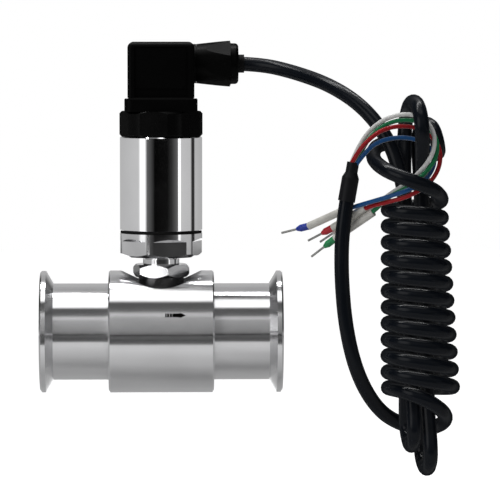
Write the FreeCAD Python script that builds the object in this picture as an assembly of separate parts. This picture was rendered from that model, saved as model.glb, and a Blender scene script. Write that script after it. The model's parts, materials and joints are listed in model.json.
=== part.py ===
import FreeCAD
import Part
import math
import os

V = FreeCAD.Vector

# Turbine water flow meter with clamp ends, threaded pickup, plug and hanked cable.
# Origin: centre of the inlet sealing face. +X is the flow, +Z points at the pickup.

# Pipe body
FACE_TO_FACE = 100.0
MID_X = FACE_TO_FACE / 2
BORE_R = 7.5
FERRULE_R = 25.25
FERRULE_EDGE = 0.7
RIM_WIDTH = 2.5
CONE_ANGLE = 30.0
NECK_R = 20.0
NECK_STUB = 0.5
CONE_LENGTH = (FERRULE_R - NECK_R) * math.tan(math.radians(CONE_ANGLE))
FERRULE_LENGTH = RIM_WIDTH + CONE_LENGTH + NECK_STUB
GROOVE_MEAN_R = 21.8
GROOVE_R = 1.2
BARREL_RISE = 0.1
BARREL_R = FERRULE_R + BARREL_RISE
BARREL_LENGTH = 43.4
BARREL_EDGE = 0.6
BARREL_X0 = MID_X - BARREL_LENGTH / 2
BARREL_X1 = MID_X + BARREL_LENGTH / 2

# Pocket on top of the barrel and the pickup well
POCKET_R = 16.9
POCKET_DEPTH = 6.45
POCKET_FLOOR = BARREL_R - POCKET_DEPTH
BOSS_R = 9.4
BOSS_HEIGHT = 3.9
NUT_SEAT = POCKET_FLOOR + BOSS_HEIGHT
WELL_WALL = 1.5
WELL_FLOOR = BORE_R + WELL_WALL

# Flow parts inside the bore
RUN_R = 6.9
SHOULDER_IN = 37.0
SHOULDER_OUT = FACE_TO_FACE - SHOULDER_IN
VANE_CLEARANCE = 0.08
VANE_THICKNESS = 1.0
VANE_COUNT = 4
VANE_LENGTH = 10.2
HUB_R = 3.2
NOSE_LENGTH = 5.0
NOSE_TIP_R = 0.8
NOSE_MID_R = 2.5
HUB_REACH = 6.5
RING_THICKNESS = 1.1
RING_SLACK = 0.1
RING_INNER_R = 6.4
RING_OUTER_R = 8.1
RING_GAP = 3.0
RING_FIT = 0.1
SHAFT_R = 0.8
SHAFT_CLEARANCE = 0.03
BUSH_R = 1.8
BUSH_LENGTH = 4.0
FIT = 0.02
PAD_THICKNESS = 0.6
SHAFT_END_PLAY = 0.3
ROTOR_END_GAP = 0.6
ROTOR_HUB_R = 3.0
BLADE_TIP_R = 6.5
BLADE_THICKNESS = 0.9
BLADE_COUNT = 6
BLADE_TWIST = 50.0
BLADE_STATIONS = 5
BLADE_INSET = 0.8
BLADE_ROOT = 0.6

# Pickup coil and lock nut
THREAD_R = 7.0
PICKUP_BORE_R = 5.2
PICKUP_FLOOR = 1.2
WELL_GAP = 0.3
NUT_AF = 21.0
NUT_HEIGHT = 5.3
NUT_TOP = NUT_SEAT + NUT_HEIGHT
NUT_TURN = 13.5
NUT_CHAMFER = 25.0
COLLAR_R = 7.5
RELIEF_R = 6.7
RELIEF_HEIGHT = 0.9
SPIGOT_R = 6.0
POLE_R = 1.3
BOBBIN_R = 5.0
BOBBIN_TUBE_R = 1.9
BOBBIN_FLANGE = 0.9
BOBBIN_HEIGHT = 10.0
BOBBIN_LIFT = 0.8
COIL_R = 4.5
POLE_OVERHANG = 1.0
MAGNET_R = 2.4
MAGNET_HEIGHT = 6.0

# Steel housing
CAP_GAP = 3.1
CAP_BOTTOM = NUT_TOP + CAP_GAP
CAP_HEIGHT = 9.8
CAP_TOP = CAP_BOTTOM + CAP_HEIGHT
CAP_R = 17.0
CAP_FLAT_CUT = 1.5
CAP_AF = 2 * (CAP_R - CAP_FLAT_CUT)
CAP_FLAT_TURN = 13.4
CAP_FLAT_HEIGHT = 6.6
CAP_FLAT_TOP = CAP_BOTTOM + CAP_FLAT_HEIGHT
CAP_FLAT_RUNOUT = 1.1
CAP_CHAMFER_DEPTH = 2.6
CAP_CHAMFER_HEIGHT = 1.5
CAP_FLOOR = 5.0
TUBE_WALL = 1.7
TUBE_INNER_R = CAP_R - TUBE_WALL
TUBE_FIT = 0.1
CAP_SPIGOT_R = TUBE_INNER_R - TUBE_FIT
SPIGOT_WALL = 2.7
CAP_BORE_R = CAP_SPIGOT_R - SPIGOT_WALL
CAP_SPIGOT_HEIGHT = 5.0
SEAL_HEIGHT = 1.0
SEAL_SET_BACK = 0.2
SEAL_EDGE = 0.25
TUBE_LENGTH = 38.8
TUBE_TOP = CAP_TOP + SEAL_HEIGHT + TUBE_LENGTH
TUBE_EDGE = 0.4
CARRIER_HEIGHT = 3.0
BOARD_EDGE_GAP = 0.5
BOARD_WIDTH = 2 * (CAP_BORE_R - BOARD_EDGE_GAP)
BOARD_THICKNESS = 1.6
BOARD_DROP = 7.3
BOARD_TOP = TUBE_TOP - BOARD_DROP
BOARD_SEAT = 2.0
WIRE_PASS_R = 2.5
WIRE_PASS_Y = 7.0
CHIP_SIZE = 7.0
CHIP_HEIGHT = 1.6
CHIP_LIFT = 6.0
CAN_R = 3.0
CAN_HEIGHT = 7.0
CAN_LIFT = 18.0

# Black plug on top
RING_HEIGHT = 10.5
RING_TOP = TUBE_TOP + RING_HEIGHT
RING_OVERHANG = 0.15
RING_CORNER_R = CAP_R + RING_OVERHANG
RING_FLAT_CUT = 1.0
RING_AF = 2 * (RING_CORNER_R - RING_FLAT_CUT)
RING_TURN = -11.0
RING_CHAMFER = 0.9
ADAPTER_SPIGOT_R = TUBE_INNER_R - TUBE_FIT
ADAPTER_SPIGOT_HEIGHT = 6.0
ADAPTER_BORE_R = 9.0
BASE_SIZE_X = 30.0
BASE_SIZE_Y = 28.6
BASE_HEIGHT = 4.9
BASE_TOP = RING_TOP + BASE_HEIGHT
BASE_CORNER = 3.0
BLADE_WIDTH = 6.0
BLADE_PLATE = 0.8
BLADE_RISE = 9.0
BLADE_SINK = 4.0
BLADE_PITCH = 7.5
BLADE_FIT = 0.15
GASKET_HEIGHT = 0.8
GASKET_SIZE = 27.0
GASKET_WALL = 2.0
PLUG_SIZE = 27.4
PLUG_BOTTOM = BASE_TOP + GASKET_HEIGHT
PLUG_HEIGHT = 22.8
PLUG_TOP = PLUG_BOTTOM + PLUG_HEIGHT
PLUG_WALL = 2.4
PLUG_ROOF = 4.0
PLUG_TOP_ROUND = 2.4
PLUG_SIDE_ROUND = 1.6
RECESS_WIDTH = 22.0
RECESS_DEPTH = 0.9
RECESS_MARGIN = 0.5
NOTCH_DEPTH = 1.8
PANEL_WIDTH = 20.4
PANEL_LIFT = 3.8
PANEL_BOTTOM = PLUG_BOTTOM + PANEL_LIFT
PANEL_DROP = 2.5
PANEL_TOP = PLUG_TOP - PANEL_DROP
PANEL_THICKNESS = 0.5
PANEL_CHAMFER = 1.6
INSERT_FIT = 0.2
INSERT_HEIGHT = 9.0
INSERT_TOP = PLUG_BOTTOM + INSERT_HEIGHT
SCREW_R = 1.6
SCREW_HEAD_R = 3.2
SCREW_HEAD_HEIGHT = 2.2
SCREW_HEAD_SINK = 0.6
SCREW_DEPTH = 3.0
SCREW_FIT = 0.1
SLOT_WIDTH = 0.9
SLOT_DEPTH = 1.2

# Cable gland
GLAND_DROP = 9.0
GLAND_Z = PLUG_TOP - GLAND_DROP
GLAND_NECK_R = 7.2
GLAND_NECK_BORE_R = 5.6
GLAND_HOLE_R = 3.2
GLAND_GAP = 0.9
GLAND_NUT_X0 = MID_X + PLUG_SIZE / 2 + GLAND_GAP
GLAND_NUT_BODY = 13.8
GLAND_NUT_X1 = GLAND_NUT_X0 + GLAND_NUT_BODY
GLAND_NOSE_LENGTH = 3.5
GLAND_NUT_X2 = GLAND_NUT_X1 + GLAND_NOSE_LENGTH
GLAND_NECK_FLOOR = GLAND_NUT_X0 + GLAND_GAP
GLAND_NECK_LENGTH = 9.4
GLAND_NECK_END = GLAND_NUT_X0 + GLAND_NECK_LENGTH
GLAND_NUT_R0 = 8.1
GLAND_NUT_R1 = 9.6
GLAND_NOSE_R = 8.4
GLAND_NOSE_STEP = 0.4
GLAND_NOSE_ROUND = 1.5
GLAND_AF = 17.0
GLAND_FLAT_TURN = 41.0
GLAND_THREAD_FIT = 0.1
GLAND_NOSE_WALL = 4.4
GLAND_NOSE_INNER = GLAND_NUT_X2 - GLAND_NOSE_WALL
LIP_R = 3.75
LIP_LENGTH = 2.4
LIP_END = GLAND_NUT_X2 + LIP_LENGTH
SEAL_BODY_R = 5.5
SEAL_BODY_REACH = 2.0
SEAL_BODY_END = GLAND_NECK_END + SEAL_BODY_REACH
WASHER_THICKNESS = 1.0
WASHER_GAP = 0.1

# Cable and core wires
CABLE_R = 2.95
CABLE_FIT = 0.05
CORD_ARC_SHARE = 0.45
HANK_Y = -50.0
HANK_TOP = (151.3, HANK_Y, 56.5)
HANK_BOTTOM = (154.1, HANK_Y, -21.5)
HANK_TOP_R = 13.4
HANK_BOTTOM_R = 15.9
WIRE_R = 0.9
CORE_SHARE = 0.5
MARKER_FIT = 0.1
MARKER_R = 1.55
COLLAR_WIDE_R = 1.45
COLLAR_TIP_R = 0.75
COLLAR_BODY = 3.8
COLLAR_CONE = 1.8
PIN_R = 0.45
PIN_LENGTH = 7.0
PIN_SINK = 1.5
SLEEVE_R = 3.45
SLEEVE_TIP_R = 2.45
SLEEVE_WIDE = 9.5
SLEEVE_TAPER = 2.2
SLEEVE_LENGTH = 15.8
SLEEVE_START = 9.5

LEAD_POINTS = [
    (GLAND_NECK_END + 3, 0, GLAND_Z), (90, 0, GLAND_Z), (105, -10, 107.4), (119.7, -26, 102),
    (132, -38, 93.4), (141, -46, 81.3), (145.4, -51.5, 68.5), (147.7, -53, 56),
]
TOP_LOOP_POINTS = [
    (147.8, -46.7, 50), (147.4, -46.2, 68), (148.4, -33.5, 86.3), (149.8, -43, 96.2),
    (152.2, -57, 96.2), (153.4, -66.5, 86.3), (154.3, -53.5, 68), (154.3, -53, 50),
]
LEFT_LOOP_POINTS = [
    (150.3, -53, -12), (150.3, -54, -20), (150.9, -62, -35), (150.6, -55, -41.9),
    (149.8, -45, -41.9), (148.9, -38, -35), (148.4, -46, -20), (148.4, -47, -12),
]
RIGHT_LOOP_POINTS = [
    (156.6, -53, -12), (156.5, -53.5, -26), (157.6, -62, -44), (157, -55, -51.2),
    (155.8, -45, -51.2), (154.8, -38, -44), (157, -46.2, -26), (157, -46.6, -12),
]
WRAP_POINTS = [
    (154.3, -46.7, 50), (154.3, -45.8, 60), (154, -40, 70.5), (153.7, -34.8, 79.5), (155, -36, 87.4),
    (158.9, -44, 86.6), (160.8, -47.5, 79.8), (161.8, -41.2, 74.3), (157.4, -28, 75.3),
    (145.5, -28, 79), (136.6, -37, 78.6), (134.1, -50, 73.4), (139.2, -62, 68.9),
    (149, -67.4, 65.3), (158.5, -63.6, 61.6), (162.8, -51, 57), (160, -42, 54.5),
]
TAIL_POINTS = [
    (148, -61.5, -19.3), (157, -62.7, -22.8), (164.1, -55.6, -28.7), (164.1, -43.3, -33.8),
    (157.9, -33.7, -37.3), (147.5, -31.8, -35.6), (137.5, -38.5, -28.8), (129, -47, -14.5),
    (124, -50, 4.5), (122, -50.5, 27), (122.5, -50, 47), (125.4, -50, 63.8),
]
WIRE_POINTS = {
    "white": [
        (125.85, -49, 71), (128.2, -48.2, 76.6), (132.6, -49, 84), (139, -50.8, 89.3),
        (147, -53, 91.6), (154.6, -55.9, 90.2), (158.8, -59.2, 84), (158.3, -61.7, 76.6),
        (154.4, -60.9, 70.2), (148.6, -58.4, 64.3), (141.5, -53.9, 59.7),
    ],
    "green": [
        (127.85, -49, 71), (130, -49.9, 76.4), (133.9, -50.8, 82.8), (139.6, -51.6, 87.4),
        (147.2, -52.6, 89.4), (155, -54.2, 87.9), (160, -56.8, 81.6), (159.6, -59.8, 74.6),
        (155.2, -61.2, 68.2), (148.2, -59.6, 62.2), (140.4, -54.9, 58.4),
    ],
    "red": [
        (125.85, -51, 71), (128.2, -53, 75.8), (132.8, -53.4, 81.2), (138.6, -53.4, 85.4),
        (146.4, -52.9, 86.8), (154.6, -52.6, 85.4), (160.6, -53.6, 79.8), (161.6, -56.4, 72.2),
        (157.8, -59.6, 64.7), (149.6, -61.7, 59.2), (139.6, -57.4, 56.2),
    ],
    "blue": [
        (127.85, -51, 71), (130.8, -51.4, 75), (135, -52, 79.4), (141.4, -52.5, 81.8),
        (149.2, -53.1, 82), (156, -53.7, 79.6), (159.4, -55.2, 74.2), (157.8, -58.2, 68.4),
        (152.8, -61.3, 63.2), (145, -61.5, 60.2), (135.6, -56.2, 57),
    ],
}
# Each core ends in a marker tube (start, end) and a ferrule that points at the tip.
WIRE_ENDS = {
    "white": [(134.5, -46.8, 53.4), (123.4, -37.7, 45.6), (113.2, -31, 38.1)],
    "green": [(134.9, -50.2, 51.9), (119.8, -42.4, 40.9), (109.4, -37.5, 32.4)],
    "red": [(131.7, -49, 53.9), (119.2, -39.6, 45.2), (109.1, -33.5, 39.4)],
    "blue": [(124.8, -45.3, 53.2), (109.7, -35, 45.6), (97.5, -28.5, 42.1)],
}

Z_AXIS = V(0, 0, 1)
HEX_STEP = 60.0
X_AXIS = V(1, 0, 0)
ORIGIN = V(0, 0, 0)


def save(name, shape):
    """Write one node as its own STEP file and print its volume."""
    shape.exportStep("parts/" + name + ".step")
    print(name, round(shape.Volume, 2), shape.isValid(), len(shape.Solids))


def ring_about_x(profile):
    """Turn a closed list of (x, radius) points about the flow axis."""
    points = [V(x, 0, r) for x, r in profile]
    wire = Part.makePolygon(points + points[:1])
    return Part.Face(wire).revolve(ORIGIN, X_AXIS, 360)


def ring_about_pickup(profile):
    """Turn a closed list of (radius, z) points about the pickup axis."""
    points = [V(MID_X + r, 0, z) for r, z in profile]
    wire = Part.makePolygon(points + points[:1])
    return Part.Face(wire).revolve(V(MID_X, 0, 0), Z_AXIS, 360)


def rod_x(radius, x0, x1, z=0.0):
    return Part.makeCylinder(radius, x1 - x0, V(x0, 0, z), X_AXIS)


def rod_z(radius, z0, z1, x=MID_X, y=0.0):
    return Part.makeCylinder(radius, z1 - z0, V(x, y, z0), Z_AXIS)


def block(size_x, size_y, z0, z1, x=MID_X, y=0.0):
    """Upright block centred on (x, y)."""
    return Part.makeBox(size_x, size_y, z1 - z0, V(x - size_x / 2, y - size_y / 2, z0))


def front_angle(turn):
    """Direction in degrees of a face that is turned from the front (-Y) towards +X."""
    return turn - 90.0


def hex_prism(across_flats, z0, z1, flat_turn):
    """Upright hexagon with one flat facing the given turn from the front."""
    corner_r = across_flats / math.sqrt(3.0)
    points = []
    for i in range(6):
        angle = math.radians(front_angle(flat_turn) + HEX_STEP * (i + 0.5))
        points.append(V(MID_X + corner_r * math.cos(angle), corner_r * math.sin(angle), z0))
    face = Part.Face(Part.makePolygon(points + points[:1]))
    return face.extrude(V(0, 0, z1 - z0))


def upright_edges(shape, height):
    """Edges that run straight up over the given height."""
    found = []
    for edge in shape.Edges:
        box = edge.BoundBox
        if abs(box.ZLength - height) < FIT and box.XLength < FIT and box.YLength < FIT:
            found.append(edge)
    return found


def mirrored(shape):
    return shape.mirror(V(MID_X, 0, 0), X_AXIS)


def cord_wire(name, points):
    """Straight runs joined by tangent arcs; prints the arc radii and the length."""
    pts = [V(*p) for p in points]
    edges = []
    radii = []
    start = pts[0]
    for before, corner, after in zip(pts, pts[1:], pts[2:]):
        run_in = corner - before
        run_out = after - corner
        turn = run_in.getAngle(run_out)
        reach = CORD_ARC_SHARE * min(run_in.Length, run_out.Length)
        radii.append(round(reach / math.tan(turn / 2), 1))
        leave = corner - V(run_in).normalize() * reach
        join = corner + V(run_out).normalize() * reach
        chord = (leave + join) * 0.5
        sag = corner - chord
        radius = reach / math.tan(turn / 2)
        to_corner = radius / math.cos(turn / 2)
        middle = corner - V(sag).normalize() * (to_corner - radius)
        edges.append(Part.LineSegment(start, leave).toShape())
        edges.append(Part.Arc(leave, middle, join).toShape())
        start = join
    edges.append(Part.LineSegment(start, pts[-1]).toShape())
    wire = Part.Wire(edges)
    print(name, "arc radii", radii, "length", round(wire.Length, 1))
    return wire


def cord(name, points, radius):
    """Round cord swept along its runs and arcs."""
    wire = cord_wire(name, points)
    first = V(*points[1]) - V(*points[0])
    circle = Part.Wire(Part.makeCircle(radius, V(*points[0]), first))
    solid = wire.makePipeShell([circle], True, False)
    print(name, "fill", round(solid.Volume / (math.pi * radius ** 2 * wire.Length), 3))
    return solid


def turned_between(start, end, profile):
    """Turn (distance, radius) points about the line from start to end."""
    axis = (V(*end) - V(*start)).normalize()
    side = axis.cross(V(0, 1, 0)).normalize()
    points = [V(*start) + axis * d + side * r for d, r in profile]
    face = Part.Face(Part.makePolygon(points + points[:1]))
    return face.revolve(V(*start), axis, 360)


def ferrule():
    """Clamp ferrule: rim, sloped clamping back, short weld neck and gasket groove."""
    shape = ring_about_x([
        (0, BORE_R), (0, FERRULE_R - FERRULE_EDGE), (FERRULE_EDGE, FERRULE_R),
        (RIM_WIDTH, FERRULE_R), (RIM_WIDTH + CONE_LENGTH, NECK_R),
        (FERRULE_LENGTH, NECK_R), (FERRULE_LENGTH, BORE_R),
    ])
    return shape.cut(Part.makeTorus(GROOVE_MEAN_R, GROOVE_R, ORIGIN, X_AXIS))


def meter_body():
    """Barrel with two necks, stepped bore, ring grooves, pocket and pickup well."""
    end = FACE_TO_FACE - FERRULE_LENGTH
    shape = ring_about_x([
        (FERRULE_LENGTH, BORE_R), (FERRULE_LENGTH, NECK_R), (BARREL_X0, NECK_R),
        (BARREL_X0, BARREL_R - BARREL_EDGE), (BARREL_X0 + BARREL_EDGE, BARREL_R),
        (BARREL_X1 - BARREL_EDGE, BARREL_R), (BARREL_X1, BARREL_R - BARREL_EDGE),
        (BARREL_X1, NECK_R), (end, NECK_R), (end, BORE_R), (SHOULDER_OUT, BORE_R),
        (SHOULDER_OUT, RUN_R), (SHOULDER_IN, RUN_R), (SHOULDER_IN, BORE_R),
    ])
    groove_x1 = SHOULDER_IN - VANE_LENGTH
    groove_x0 = groove_x1 - RING_THICKNESS - RING_SLACK
    groove = rod_x(RING_OUTER_R + RING_FIT, groove_x0, groove_x1)
    pocket = rod_z(POCKET_R, POCKET_FLOOR, BARREL_R + BARREL_EDGE)
    pocket = pocket.cut(rod_z(BOSS_R, POCKET_FLOOR, NUT_SEAT))
    well = rod_z(THREAD_R + FIT, WELL_FLOOR, BARREL_R + BARREL_EDGE)
    return shape.cut(groove).cut(mirrored(groove)).cut(pocket).cut(well)


def retaining_ring():
    """Open spring ring in its bore groove, gap at the bottom."""
    x1 = SHOULDER_IN - VANE_LENGTH - RING_SLACK / 2
    x0 = x1 - RING_THICKNESS
    ring = rod_x(RING_OUTER_R, x0, x1).cut(rod_x(RING_INNER_R, x0, x1))
    gap = Part.makeBox(RING_THICKNESS, RING_GAP, RING_OUTER_R,
                       V(x0, -RING_GAP / 2, -RING_OUTER_R))
    return ring.cut(gap)


def guide():
    """Flow straightener: pointed hub with straight vanes and a blind bush seat."""
    vane_x0 = SHOULDER_IN - VANE_LENGTH + FIT
    hub_end = SHOULDER_IN + HUB_REACH
    shape = ring_about_x([
        (vane_x0, 0), (vane_x0, NOSE_TIP_R), (vane_x0 + NOSE_LENGTH / 2, NOSE_MID_R),
        (vane_x0 + NOSE_LENGTH, HUB_R), (hub_end, HUB_R), (hub_end, 0),
    ])
    span = BORE_R - VANE_CLEARANCE
    sleeve = rod_x(span, vane_x0, SHOULDER_IN)
    for i in range(VANE_COUNT):
        vane = Part.makeBox(SHOULDER_IN - vane_x0, VANE_THICKNESS, BORE_R,
                            V(vane_x0, -VANE_THICKNESS / 2, 0))
        vane.rotate(ORIGIN, X_AXIS, 360.0 / VANE_COUNT * (i + 0.5))
        shape = shape.fuse(vane.common(sleeve))
    seat_depth = BUSH_LENGTH + PAD_THICKNESS
    seat = rod_x(BUSH_R + FIT, hub_end - seat_depth, hub_end)
    return shape.cut(seat).removeSplitter()


def bush():
    """Plain bearing bush pressed into the hub of a guide."""
    x1 = SHOULDER_IN + HUB_REACH
    x0 = x1 - BUSH_LENGTH
    return rod_x(BUSH_R, x0, x1).cut(rod_x(SHAFT_R + SHAFT_CLEARANCE, x0, x1))


def thrust_pad():
    """Hard pad behind the bush that stops the end of the shaft."""
    x1 = SHOULDER_IN + HUB_REACH - BUSH_LENGTH
    return rod_x(BUSH_R, x1 - PAD_THICKNESS, x1)


def rotor():
    """Turbine rotor: hub with twisted helical blades, bored for its shaft."""
    x0 = SHOULDER_IN + HUB_REACH + ROTOR_END_GAP
    x1 = FACE_TO_FACE - x0
    shape = rod_x(ROTOR_HUB_R, x0, x1)
    blade_x0 = x0 + BLADE_INSET
    blade_run = x1 - x0 - 2 * BLADE_INSET
    sections = []
    for i in range(BLADE_STATIONS):
        share = i / (BLADE_STATIONS - 1)
        half = BLADE_THICKNESS / 2
        x = blade_x0 + blade_run * share
        root = ROTOR_HUB_R - BLADE_ROOT
        points = [V(x, -half, root), V(x, half, root),
                  V(x, half, BLADE_TIP_R), V(x, -half, BLADE_TIP_R)]
        section = Part.makePolygon(points + points[:1])
        section.rotate(ORIGIN, X_AXIS, BLADE_TWIST * share)
        sections.append(section)
    blade = Part.makeLoft(sections, True, False)
    for i in range(BLADE_COUNT):
        turned = blade.copy()
        turned.rotate(ORIGIN, X_AXIS, 360.0 / BLADE_COUNT * i)
        shape = shape.fuse(turned)
    return shape.cut(rod_x(SHAFT_R + FIT, x0, x1))


def rotor_shaft():
    x0 = SHOULDER_IN + HUB_REACH - BUSH_LENGTH + SHAFT_END_PLAY
    return rod_x(SHAFT_R, x0, FACE_TO_FACE - x0)


def pickup_shell():
    """Threaded pickup tube with blind tip, collar, relief and spigot for the cap."""
    tip = WELL_FLOOR + WELL_GAP
    floor = tip + PICKUP_FLOOR
    relief = CAP_BOTTOM - RELIEF_HEIGHT
    top = CAP_BOTTOM + CAP_FLOOR
    return ring_about_pickup([
        (0, tip), (THREAD_R, tip), (THREAD_R, NUT_TOP), (COLLAR_R, NUT_TOP),
        (COLLAR_R, relief), (RELIEF_R, relief), (RELIEF_R, CAP_BOTTOM),
        (SPIGOT_R, CAP_BOTTOM), (SPIGOT_R, top), (PICKUP_BORE_R, top),
        (PICKUP_BORE_R, floor), (0, floor),
    ])


def lock_nut():
    """Hexagon nut with chamfered corners on both faces."""
    shape = hex_prism(NUT_AF, NUT_SEAT, NUT_TOP, NUT_TURN + HEX_STEP / 2)
    corner = NUT_AF / math.sqrt(3.0)
    drop = (corner - NUT_AF / 2) * math.tan(math.radians(NUT_CHAMFER)) * 2
    envelope = ring_about_pickup([
        (0, NUT_SEAT), (NUT_AF / 2, NUT_SEAT), (corner, NUT_SEAT + drop),
        (corner, NUT_TOP - drop), (NUT_AF / 2, NUT_TOP), (0, NUT_TOP),
    ])
    return shape.common(envelope).cut(rod_z(THREAD_R + FIT, NUT_SEAT, NUT_TOP))


PICKUP_BASE = WELL_FLOOR + WELL_GAP + PICKUP_FLOOR + FIT
BOBBIN_BASE = PICKUP_BASE + BOBBIN_LIFT
BOBBIN_TOP = BOBBIN_BASE + BOBBIN_HEIGHT
POLE_TOP = BOBBIN_TOP + POLE_OVERHANG


def bobbin():
    """Coil former: thin tube with a flange at each end."""
    low = BOBBIN_BASE + BOBBIN_FLANGE
    high = BOBBIN_TOP - BOBBIN_FLANGE
    return ring_about_pickup([
        (POLE_R + FIT, BOBBIN_BASE), (BOBBIN_R, BOBBIN_BASE), (BOBBIN_R, low),
        (BOBBIN_TUBE_R, low), (BOBBIN_TUBE_R, high), (BOBBIN_R, high),
        (BOBBIN_R, BOBBIN_TOP), (POLE_R + FIT, BOBBIN_TOP),
    ])


def winding():
    low = BOBBIN_BASE + BOBBIN_FLANGE + FIT
    high = BOBBIN_TOP - BOBBIN_FLANGE - FIT
    return rod_z(COIL_R, low, high).cut(rod_z(BOBBIN_TUBE_R + FIT, low, high))


def housing_base():
    """Turned cap with six wrench flats, lead-out slopes and a spigot for the tube."""
    floor = CAP_BOTTOM + CAP_FLOOR
    spigot_top = CAP_TOP + CAP_SPIGOT_HEIGHT
    shape = ring_about_pickup([
        (SPIGOT_R + FIT, CAP_BOTTOM), (CAP_R - CAP_CHAMFER_DEPTH, CAP_BOTTOM),
        (CAP_R, CAP_BOTTOM + CAP_CHAMFER_HEIGHT), (CAP_R, CAP_TOP),
        (CAP_SPIGOT_R, CAP_TOP), (CAP_SPIGOT_R, spigot_top), (CAP_BORE_R, spigot_top),
        (CAP_BORE_R, floor), (SPIGOT_R + FIT, floor),
    ])
    flat = CAP_AF / 2
    over = CAP_R + CAP_CHAMFER_DEPTH
    slope = (over - flat) / (CAP_R - flat) * CAP_FLAT_RUNOUT
    points = [V(flat, -CAP_R, CAP_BOTTOM - FIT), V(flat, -CAP_R, CAP_FLAT_TOP),
              V(over, -CAP_R, CAP_FLAT_TOP + slope), V(over, -CAP_R, CAP_BOTTOM - FIT)]
    cutter = Part.Face(Part.makePolygon(points + points[:1])).extrude(V(0, 2 * CAP_R, 0))
    for i in range(6):
        turned = cutter.copy()
        turned.rotate(ORIGIN, Z_AXIS, front_angle(CAP_FLAT_TURN) + HEX_STEP * i)
        turned.translate(V(MID_X, 0, 0))
        shape = shape.cut(turned)
    return shape


def housing_seal():
    """Flat-sided sealing ring squeezed between cap and tube."""
    inner = CAP_SPIGOT_R + FIT
    outer = CAP_R - SEAL_SET_BACK
    top = CAP_TOP + SEAL_HEIGHT
    return ring_about_pickup([
        (inner, CAP_TOP), (outer - SEAL_EDGE, CAP_TOP), (outer, CAP_TOP + SEAL_EDGE),
        (outer, top - SEAL_EDGE), (outer - SEAL_EDGE, top), (inner, top),
    ])


def housing_tube():
    """Polished sleeve over the electronics, both outer edges broken."""
    low = CAP_TOP + SEAL_HEIGHT
    return ring_about_pickup([
        (TUBE_INNER_R, low), (CAP_R - TUBE_EDGE, low), (CAP_R, low + TUBE_EDGE),
        (CAP_R, TUBE_TOP - TUBE_EDGE), (CAP_R - TUBE_EDGE, TUBE_TOP),
        (TUBE_INNER_R, TUBE_TOP),
    ])


CARRIER_LOW = CAP_TOP + CAP_SPIGOT_HEIGHT
BOARD_LOW = CARRIER_LOW + CARRIER_HEIGHT - BOARD_SEAT


def board_carrier():
    """Round plate that stands on the cap spigot and grips the board in a slot."""
    shape = rod_z(CAP_SPIGOT_R, CARRIER_LOW, CARRIER_LOW + CARRIER_HEIGHT)
    slot = block(BOARD_WIDTH + 2 * FIT, BOARD_THICKNESS + 2 * FIT, BOARD_LOW,
                 CARRIER_LOW + CARRIER_HEIGHT)
    hole = rod_z(WIRE_PASS_R, CARRIER_LOW, CARRIER_LOW + CARRIER_HEIGHT, y=WIRE_PASS_Y)
    return shape.cut(slot).cut(hole)


def hex_adapter():
    """Black hexagon ring with turned corners, screwed into the top of the tube."""
    hexagon = hex_prism(RING_AF, TUBE_TOP, RING_TOP, RING_TURN)
    envelope = ring_about_pickup([
        (0, TUBE_TOP), (RING_CORNER_R - RING_CHAMFER, TUBE_TOP),
        (RING_CORNER_R, TUBE_TOP + RING_CHAMFER), (RING_CORNER_R, RING_TOP - RING_CHAMFER),
        (RING_CORNER_R - RING_CHAMFER, RING_TOP), (0, RING_TOP),
    ])
    spigot = rod_z(ADAPTER_SPIGOT_R, TUBE_TOP - ADAPTER_SPIGOT_HEIGHT, TUBE_TOP)
    bore = rod_z(ADAPTER_BORE_R, TUBE_TOP - ADAPTER_SPIGOT_HEIGHT, RING_TOP)
    return hexagon.common(envelope).fuse(spigot).cut(bore).removeSplitter()


BLADE_SPOTS = {
    "left": (-BLADE_PITCH, 0, BLADE_PLATE, BLADE_WIDTH),
    "right": (BLADE_PITCH, 0, BLADE_PLATE, BLADE_WIDTH),
    "front": (0, -BLADE_PITCH, BLADE_WIDTH, BLADE_PLATE),
    "back": (0, BLADE_PITCH, BLADE_WIDTH, BLADE_PLATE),
}


def contact_blade(spot, grow=0.0):
    """Flat contact tongue standing in the base; grow gives its clearance slot."""
    dx, dy, size_x, size_y = spot
    return block(size_x + 2 * grow, size_y + 2 * grow, BASE_TOP - BLADE_SINK,
                 BASE_TOP + BLADE_RISE + grow, MID_X + dx, dy)


def connector_base():
    """Square socket base with rounded corners that carries the contact tongues."""
    shape = block(BASE_SIZE_X, BASE_SIZE_Y, RING_TOP, BASE_TOP)
    shape = shape.makeFillet(BASE_CORNER, upright_edges(shape, BASE_TOP - RING_TOP))
    for spot in BLADE_SPOTS.values():
        shape = shape.cut(contact_blade(spot, FIT))
    return shape.cut(rod_z(SCREW_R + FIT, BASE_TOP - SCREW_DEPTH, BASE_TOP))


def profile_gasket():
    """Square rubber frame between base and plug."""
    inner = GASKET_SIZE - 2 * GASKET_WALL
    shape = block(GASKET_SIZE, GASKET_SIZE, BASE_TOP, PLUG_BOTTOM)
    return shape.cut(block(inner, inner, BASE_TOP, PLUG_BOTTOM))


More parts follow.
